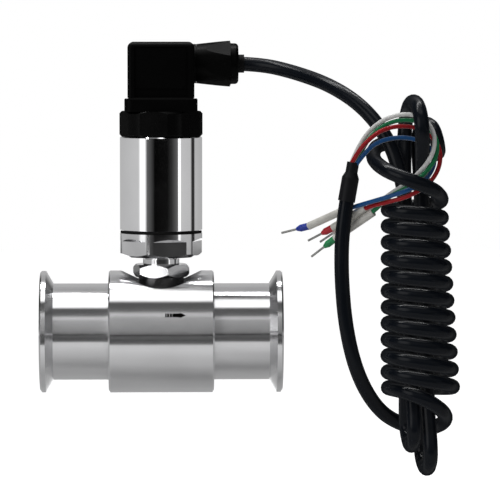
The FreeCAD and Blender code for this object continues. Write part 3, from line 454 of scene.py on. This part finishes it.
sky.links.new(backdrop.outputs["Result"], sky.nodes["Background"].inputs["Color"])
print("studio world nodes:", len(sky.nodes))

# %% [markdown]
# The world alone leaves the black cable flat. A spot would give it hard glints, so two soft
# boxes are used: a narrow one over the meter gives the short shine on the top of each turn, and
# a wide one fills from the left.

# %% Lamps
LAMP_AIM = Vector((0.08, 0, 0.03))
LAMPS = {
    "top_box": {"spot": (-0.02, 0.2, 1.0), "size": (1.2, 0.06), "power": 7.0},
    "left_fill": {"spot": (-0.9, -0.9, 0.5), "size": (0.9, 0.9), "power": 4.5},
}
for name, lamp in LAMPS.items():
    light = bpy.data.lights.new(name, "AREA")
    light.shape = "RECTANGLE"
    light.size, light.size_y = lamp["size"]
    light.energy = lamp["power"]
    bulb = bpy.data.objects.new(name, light)
    bulb.location = lamp["spot"]
    bulb.rotation_mode = "QUATERNION"
    bulb.rotation_quaternion = (LAMP_AIM - bulb.location).to_track_quat("-Z", "Y")
    bpy.context.scene.collection.objects.link(bulb)
bpy.context.scene.view_settings.view_transform = "Standard"
print("lamps:", ", ".join(LAMPS))

# %% [markdown]
# Step 5: materials. The meter is turned and polished steel, moulded plastic, rubber and a few
# coloured wires. Each could be painted in its own nodes, but they share some effects, so three
# node groups are built once. `cloudy` mixes two values by a soft noise, for handling marks and
# uneven polish. `painted_pocket_shade` is 1 round the boss under the lock nut, where painted shade darkens
# the steel's colour for the shadow under the nut. `grained` is the dull grain of moulded plastic
# and rubber.

# %% Shared effects
CLOUDS = {"Scale": 120.0, "Low": 0.0, "High": 1.0}
CLOUD_DETAIL = 3.0
NOISE_RANGE = (0.3, 0.7)
# Painted shade round the boss under the lock nut: axis, lowest height, full and faded radii.
POCKET_SHADE_AREA = {"X": 0.05, "Low": 0.015, "Inner": 0.0125, "Outer": 0.0176}
GRAIN_SCALE = 2500.0
GRAIN_DETAIL = 2.0


def effect(name, inputs):
    """New node group with an Object coordinate, plain number inputs and one number output."""
    group = bpy.data.node_groups.new(name, "ShaderNodeTree")
    for title, value in inputs.items():
        socket = group.interface.new_socket(title, in_out="INPUT", socket_type="NodeSocketFloat")
        socket.default_value = value
    group.interface.new_socket("Value", in_out="OUTPUT", socket_type="NodeSocketFloat")
    entry, leave = group.nodes.new("NodeGroupInput"), group.nodes.new("NodeGroupOutput")
    spot = group.nodes.new("ShaderNodeTexCoord")
    return group, entry, leave, spot.outputs["Object"]


def noise(tree, coordinate, scale, detail):
    """Noise value of a coordinate; the scale is a socket."""
    node = tree.nodes.new("ShaderNodeTexNoise")
    node.inputs["Detail"].default_value = detail
    tree.links.new(coordinate, node.inputs["Vector"])
    tree.links.new(scale, node.inputs["Scale"])
    return node.outputs["Fac"]


def between(tree, share, low, high):
    """Value that runs from low to high over the range that noise mostly fills."""
    node = tree.nodes.new("ShaderNodeMapRange")
    node.inputs["From Min"].default_value, node.inputs["From Max"].default_value = NOISE_RANGE
    tree.links.new(share, node.inputs["Value"])
    tree.links.new(low, node.inputs["To Min"])
    tree.links.new(high, node.inputs["To Max"])
    return node.outputs["Result"]


cloudy, entry, leave, spot = effect("cloudy", CLOUDS)
share = noise(cloudy, spot, entry.outputs["Scale"], CLOUD_DETAIL)
cloudy.links.new(between(cloudy, share, entry.outputs["Low"], entry.outputs["High"]), leave.inputs[0])

# Painted shade mask: 1 near the boss under the lock nut, fading out at the outer radius.
painted_pocket_shade, entry, leave, spot = effect("painted_pocket_shade", POCKET_SHADE_AREA)
axes = painted_pocket_shade.nodes.new("ShaderNodeSeparateXYZ")
painted_pocket_shade.links.new(spot, axes.inputs[0])
along = maths(painted_pocket_shade, "SUBTRACT", axes.outputs["X"], entry.outputs["X"])
reach = maths(painted_pocket_shade, "SQRT", maths(painted_pocket_shade, "ADD", maths(painted_pocket_shade, "MULTIPLY", along, along),
                                    maths(painted_pocket_shade, "MULTIPLY", axes.outputs["Y"], axes.outputs["Y"])))
edge = painted_pocket_shade.nodes.new("ShaderNodeMapRange")
painted_pocket_shade.links.new(reach, edge.inputs["Value"])
painted_pocket_shade.links.new(entry.outputs["Outer"], edge.inputs["From Min"])
painted_pocket_shade.links.new(entry.outputs["Inner"], edge.inputs["From Max"])
above = maths(painted_pocket_shade, "GREATER_THAN", axes.outputs["Z"], entry.outputs["Low"])
painted_pocket_shade.links.new(maths(painted_pocket_shade, "MULTIPLY", edge.outputs["Result"], above), leave.inputs[0])

grained, entry, leave, spot = effect("grained", {"Scale": GRAIN_SCALE})
grained.links.new(noise(grained, spot, entry.outputs["Scale"], GRAIN_DETAIL), leave.inputs[0])
print("effects:", cloudy.name, painted_pocket_shade.name, grained.name)

# %% [markdown]
# A material starts with its shader. Helpers add what most of them share: a tint that drifts a
# little between two shades, a roughness that drifts too, and for grained plastic a bump and a
# dull rim. Steel and plastic then are one function each, so a finish is one line of numbers.

# %% Material helpers
RIM = ((0.4, 0.0), (0.75, 1.0))
STEEL_LIGHTER, STEEL_TINT_SCALE, STEEL_POLISH_SCALE = 1.06, 60.0, 90.0
PLASTIC_LIGHTER, PLASTIC_TINT_SCALE, PLASTIC_POLISH_SCALE = 1.25, 150.0, 110.0
QUARTER_TURN = 0.25


def begin(name):
    """New node material; returns it with its tree and shader."""
    material = bpy.data.materials.new(name)
    material.use_nodes = True
    tree = material.node_tree
    return material, tree, tree.nodes["Principled BSDF"]


def use(tree, group, **numbers):
    """Instance of an effect with these numbers; returns its output."""
    node = tree.nodes.new("ShaderNodeGroup")
    node.node_tree = group
    for title, value in numbers.items():
        node.inputs[title].default_value = value
    return node.outputs[0]


def tint(tree, shader, shade, lighter, scale):
    """Base colour that drifts between a shade and one so many times lighter."""
    mix = tree.nodes.new("ShaderNodeMix")
    mix.data_type = "RGBA"
    mix.inputs["A"].default_value = (*shade, 1)
    mix.inputs["B"].default_value = (*(min(1.0, lighter * part) for part in shade), 1)
    tree.links.new(use(tree, cloudy, Scale=scale), mix.inputs["Factor"])
    tree.links.new(mix.outputs["Result"], shader.inputs["Base Color"])


def drift(tree, shader, low, high, scale):
    """Roughness that drifts between two values."""
    tree.links.new(use(tree, cloudy, Scale=scale, Low=low, High=high), shader.inputs["Roughness"])


def raise_by(tree, shader, height, depth):
    """Bump from a height value; depth is in metres."""
    bump = tree.nodes.new("ShaderNodeBump")
    bump.inputs["Distance"].default_value = depth
    tree.links.new(height, bump.inputs["Height"])
    tree.links.new(bump.outputs["Normal"], shader.inputs["Normal"])


def steel(name, shade, low, high, axis=None, spread=0.0):
    """Bare metal; axis is the lathe's axis, along which spread smears the reflections."""
    material, tree, shader = begin(name)
    shader.inputs["Metallic"].default_value = 1.0
    tint(tree, shader, shade, STEEL_LIGHTER, STEEL_TINT_SCALE)
    drift(tree, shader, low, high, STEEL_POLISH_SCALE)
    if axis:
        shader.inputs["Anisotropic"].default_value = spread
        shader.inputs["Anisotropic Rotation"].default_value = QUARTER_TURN
        tangent = tree.nodes.new("ShaderNodeTangent")
        tangent.direction_type = "RADIAL"
        tangent.axis = axis
        tree.links.new(tangent.outputs[0], shader.inputs["Tangent"])
    return material


def paint_shade(material, shade, mask):
    """Paints shade: mixes the base colour with a dark shade where the effect given as mask is 1."""
    tree = material.node_tree
    colour = tree.nodes["Principled BSDF"].inputs["Base Color"]
    mix = tree.nodes.new("ShaderNodeMix")
    mix.data_type = "RGBA"
    mix.inputs["B"].default_value = (*shade, 1)
    tree.links.new(colour.links[0].from_socket, mix.inputs["A"])
    tree.links.new(use(tree, mask), mix.inputs["Factor"])
    tree.links.new(mix.outputs["Result"], colour)


def dull_rim(tree, shader):
    """Makes the surface rougher where it turns away from the eye."""
    rim = tree.nodes.new("ShaderNodeLayerWeight")
    roughness = shader.inputs["Roughness"]
    fade = slope(tree, rim.outputs["Facing"], *RIM)
    tree.links.new(maths(tree, "MAXIMUM", roughness.links[0].from_socket, fade), roughness)


def plastic(name, shade, low, high, grain=0.0, scale=GRAIN_SCALE, shine=0.5):
    """Moulded plastic or rubber with an optional dull grain; shine is its specular level."""
    material, tree, shader = begin(name)
    shader.inputs["Specular IOR Level"].default_value = shine
    tint(tree, shader, shade, PLASTIC_LIGHTER, PLASTIC_TINT_SCALE)
    drift(tree, shader, low, high, PLASTIC_POLISH_SCALE)
    if grain:
        raise_by(tree, shader, use(tree, grained, Scale=scale), grain)
        dull_rim(tree, shader)
    return material


print("helpers ready")

# %% [markdown]
# Now the table of materials, one for each slot of the record. The barrel and ferrules are turned
# on a lathe. Fine rings could be modelled, but they are too small to see, so the shader smears
# the reflections along the pipe as such rings do. The housing tube is polished like a mirror.

# %% Materials by slot
# Painted shade: the dark colour mixed into the turned steel round the boss under the lock nut.
PAINTED_POCKET_SHADE = (0.2, 0.2, 0.205)
LOOKS = {
    "turned_steel": steel("turned_steel", (0.72, 0.72, 0.73), 0.2, 0.23, "X", 1.0),
    "spring_steel": steel("spring_steel", (0.3, 0.31, 0.33), 0.3, 0.4),
    "guide_steel": steel("guide_steel", (0.5, 0.51, 0.52), 0.25, 0.35),
    "bearing_carbide": steel("bearing_carbide", (0.3, 0.3, 0.32), 0.2, 0.3),
    "rotor_steel": steel("rotor_steel", (0.48, 0.49, 0.5), 0.22, 0.32),
    "cap_steel": steel("cap_steel", (0.74, 0.74, 0.75), 0.05, 0.09),
    "nut_steel": steel("nut_steel", (0.74, 0.74, 0.75), 0.1, 0.16),
    "polished_steel": steel("polished_steel", (0.8, 0.8, 0.81), 0.03, 0.06),
    "soft_iron": steel("soft_iron", (0.28, 0.28, 0.29), 0.4, 0.5),
    "magnet_alloy": steel("magnet_alloy", (0.45, 0.45, 0.46), 0.2, 0.3),
    "bobbin_plastic": plastic("bobbin_plastic", (0.7, 0.68, 0.6), 0.45, 0.55),
    "copper_winding": steel("copper_winding", (0.55, 0.27, 0.12), 0.3, 0.4),
    "black_rubber": plastic("black_rubber", (0.006, 0.006, 0.006), 0.6, 0.7, 6e-6, shine=0.12),
    "board_laminate": plastic("board_laminate", (0.05, 0.25, 0.12), 0.35, 0.45),
    "board_parts": plastic("board_parts", (0.03, 0.03, 0.034), 0.4, 0.5),
    "ring_plastic": plastic("ring_plastic", (0.0012, 0.0012, 0.0012), 0.24, 0.32, 2e-6, shine=0.1),
    "plug_plastic": plastic("plug_plastic", (0.0006, 0.0006, 0.0006), 0.36, 0.46, 5e-6, shine=0.06),
    "contact_brass": steel("contact_brass", (0.7, 0.62, 0.4), 0.2, 0.3),
    "screw_steel": steel("screw_steel", (0.4, 0.4, 0.4), 0.4, 0.5),
    "gland_plastic": plastic("gland_plastic", (0.0008, 0.0008, 0.0008), 0.34, 0.44, 5e-6, shine=0.05),
    "cable_jacket": plastic("cable_jacket", (0.0045, 0.006, 0.009), 0.2, 0.26, 3e-6, 1800.0, shine=0.12),
    "shrink_sleeve": plastic("shrink_sleeve", (0.006, 0.0065, 0.008), 0.42, 0.55, 8e-6, 1200.0, shine=0.15),
    "core_white": plastic("core_white", (0.62, 0.62, 0.61), 0.28, 0.36, shine=0.25),
    "core_green": plastic("core_green", (0.004, 0.16, 0.055), 0.28, 0.36, shine=0.25),
    "core_red": plastic("core_red", (0.3, 0.004, 0.008), 0.28, 0.36, shine=0.25),
    "core_blue": plastic("core_blue", (0.006, 0.07, 0.22), 0.28, 0.36, shine=0.25),
    "marker_sleeve": plastic("marker_sleeve", (0.58, 0.57, 0.53), 0.4, 0.5),
    "collar_white": plastic("collar_white", (0.8, 0.8, 0.78), 0.35, 0.45),
    "collar_green": plastic("collar_green", (0.01, 0.25, 0.08), 0.35, 0.45),
    "collar_red": plastic("collar_red", (0.48, 0.008, 0.02), 0.35, 0.45),
    "collar_blue": plastic("collar_blue", (0.01, 0.035, 0.33), 0.35, 0.45),
    "tinned_pin": steel("tinned_pin", (0.3, 0.3, 0.29), 0.3, 0.4),
}
# Paints shade into the turned steel's colour round the boss, for the shadow under the lock nut.
paint_shade(LOOKS["turned_steel"], PAINTED_POCKET_SHADE, painted_pocket_shade)


def dress(piece, look):
    """Gives a piece this one material."""
    piece.data.materials.clear()
    piece.data.materials.append(look)


for row in frame["record"]["subparts"]:
    dress(nodes[row["node"]], LOOKS[row["material_slot"]])
dress(cable, LOOKS["cable_jacket"])
for colour, wire in wires.items():
    dress(wire, LOOKS["core_" + colour])
print("materials:", len(LOOKS))

# %% [markdown]
# Step 6: the flow arrow on the front of the barrel, which shows how to fit the meter. It is a
# print, and could be painted by the barrel's material, but as a piece it keeps sharp edges. It
# is drawn flat: three tail bars and a shaft from resized planes, and a head from a circle with
# three corners. Then it is extruded a hair thick, stood up and set on the barrel's face.

# %% Flow arrow
BARREL_R = 0.02535
ARROW_X = 0.0499
ARROW_TILT = math.radians(19.8)
ARROW_SINK = 0.00003
ARROW_THICK = 0.00007
ARROW_BARS = [(0.00199, 0.00058), (0.00289, 0.00082), (0.004, 0.0009), (0.00623, 0.00314)]
ARROW_BAR_HEIGHT = 0.0016
ARROW_HEAD = (0.0084, 0.0026, 0.0024)
TRIANGLE_LENGTH, TRIANGLE_HEIGHT = 1.5, math.sqrt(3)
START = (0, 0, 0)


def lay_flat(middle, length, height):
    """Resizes the selected new faces and moves them along the arrow."""
    bpy.ops.transform.resize(value=(length, height, 1), center_override=START)
    bpy.ops.transform.translate(value=(middle, 0, 0))


bpy.ops.object.select_all(action="DESELECT")
bpy.ops.mesh.primitive_plane_add(size=1)
arrow = bpy.context.object
arrow.name = "flow_arrow"
bpy.ops.object.mode_set(mode="EDIT")
for number, (middle, length) in enumerate(ARROW_BARS):
    if number:
        bpy.ops.mesh.primitive_plane_add(size=1)
    lay_flat(middle, length, ARROW_BAR_HEIGHT)
bpy.ops.mesh.primitive_circle_add(vertices=3, radius=1, fill_type="NGON")
bpy.ops.transform.rotate(value=math.pi / 2, orient_axis="Z", center_override=START)
head_middle, head_length, head_height = ARROW_HEAD
lay_flat(head_middle, head_length / TRIANGLE_LENGTH, head_height / TRIANGLE_HEIGHT)
bpy.ops.mesh.select_all(action="SELECT")
bpy.ops.mesh.extrude_region_move(TRANSFORM_OT_translate={"value": (0, 0, ARROW_THICK)})
bpy.ops.mesh.select_all(action="SELECT")
bpy.ops.mesh.normals_make_consistent(inside=False)
bpy.ops.object.mode_set(mode="OBJECT")
reach = BARREL_R - ARROW_SINK
arrow.location = (ARROW_X, -reach * math.cos(ARROW_TILT), reach * math.sin(ARROW_TILT))
arrow.rotation_euler = (math.pi / 2 - ARROW_TILT, 0, 0)
bpy.ops.object.transform_apply(location=True, rotation=True, scale=True)
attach(arrow, "meter")
dress(arrow, LOOKS["plug_plastic"])
print("arrow faces:", len(arrow.data.polygons))
